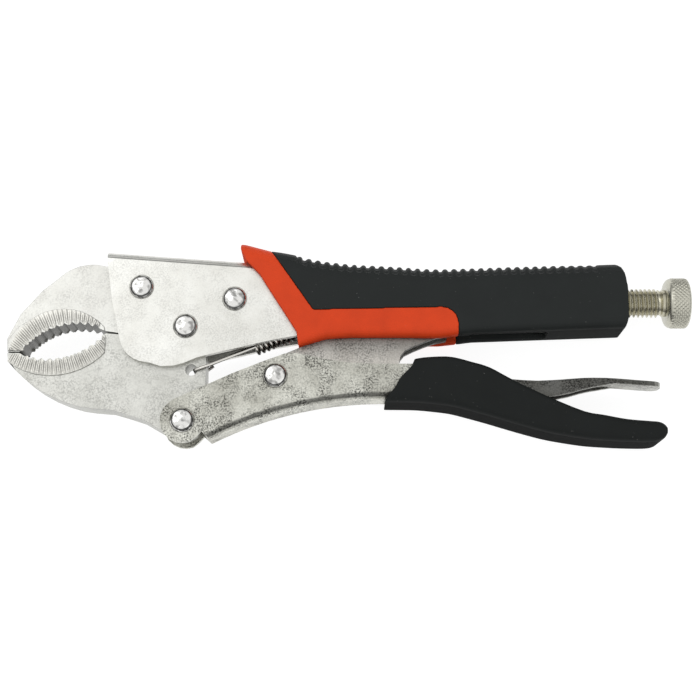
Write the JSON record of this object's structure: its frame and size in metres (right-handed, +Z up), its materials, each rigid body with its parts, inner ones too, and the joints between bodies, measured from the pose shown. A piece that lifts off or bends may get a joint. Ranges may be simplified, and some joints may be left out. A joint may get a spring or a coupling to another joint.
{
  "type": "locking pliers",
  "caption": "Curved-jaw locking pliers with a toggle link, release lever, knurled adjusting screw and rubber grips; the jaws open when the handles part.",
  "frame": {"origin": "middle of the closed tool's footprint, on the surface it lies on", "axes": "+X from the jaws to the adjusting knob, +Y from the lower handle to the upper handle, +Z up out of the side it lies on"},
  "size_m": [0.248, 0.0736, 0.021],
  "materials": {
    "pressed_steel": "satin nickel plate",
    "forged_steel": "satin nickel plate over forged steel",
    "rivet_steel": "polished nickel plate",
    "spring_steel": "dark oiled wire",
    "screw_steel": "bright nickel plate, cut thread",
    "knob_steel": "bright nickel plate, knurled",
    "black_rubber": "matt moulded",
    "red_insert": "smooth moulded"
  },
  "bodies": {
    "upper_handle_body": {"upper_handle": "pressed_steel", "fixed_jaw": "forged_steel", "jaw_rivet_front": "rivet_steel", "jaw_rivet_rear": "rivet_steel", "jaw_pivot_rivet": "rivet_steel", "spring_anchor_pin": "rivet_steel", "opening_spring": "spring_steel", "upper_grip": "black_rubber", "grip_insert": "red_insert"},
    "jaw_body": {"lower_jaw": "forged_steel"},
    "handle_body": {"lower_handle": "pressed_steel", "handle_pivot_rivet": "rivet_steel", "link_pivot_rivet": "rivet_steel", "lever_pin": "rivet_steel", "lower_grip": "black_rubber"},
    "link_body": {"toggle_link": "pressed_steel"},
    "lever_body": {"release_lever": "pressed_steel"},
    "screw_body": {"adjusting_screw": "screw_steel"},
    "knob_body": {"adjusting_knob": "knob_steel"}
  },
  "joints": [
    {"name": "jaw_hinge", "type": "hinge", "parent": "upper_handle_body", "child": "jaw_body", "pos_m": [-0.0594, 0.0056, 0.0105], "axis": [0, 0, 1], "range_deg": [0, 24], "deforming": ["opening_spring"]},
    {"name": "handle_hinge", "type": "hinge", "parent": "jaw_body", "child": "handle_body", "pos_m": [-0.0598, -0.0288, 0.0105], "axis": [0, 0, -1], "range_deg": [0, 66]},
    {"name": "link_hinge", "type": "hinge", "parent": "handle_body", "child": "link_body", "pos_m": [-0.0268, -0.0126, 0.0105], "axis": [0, 0, 1], "range_deg": [0, 70]},
    {"name": "lever_hinge", "type": "hinge", "parent": "handle_body", "child": "lever_body", "pos_m": [0.0326, -0.0149, 0.0105], "axis": [0, 0, -1], "range_deg": [0, 8]},
    {"name": "screw_slide", "type": "slide", "parent": "upper_handle_body", "child": "screw_body", "axis": [1, 0, 0], "range_m": [0, 0.012]},
    {"name": "knob_turn", "type": "hinge", "parent": "screw_body", "child": "knob_body", "pos_m": [0.1206, 0.016, 0.0105], "axis": [1, 0, 0], "range_deg": [0, 2730]}
  ],
  "couplings": [
    {"joint": "handle_hinge", "follows": "jaw_hinge", "ratio": 2.74},
    {"joint": "link_hinge", "follows": "jaw_hinge", "ratio": 2.88},
    {"joint": "knob_turn", "follows": "screw_slide", "rad_per_m": 3927}
  ]
}
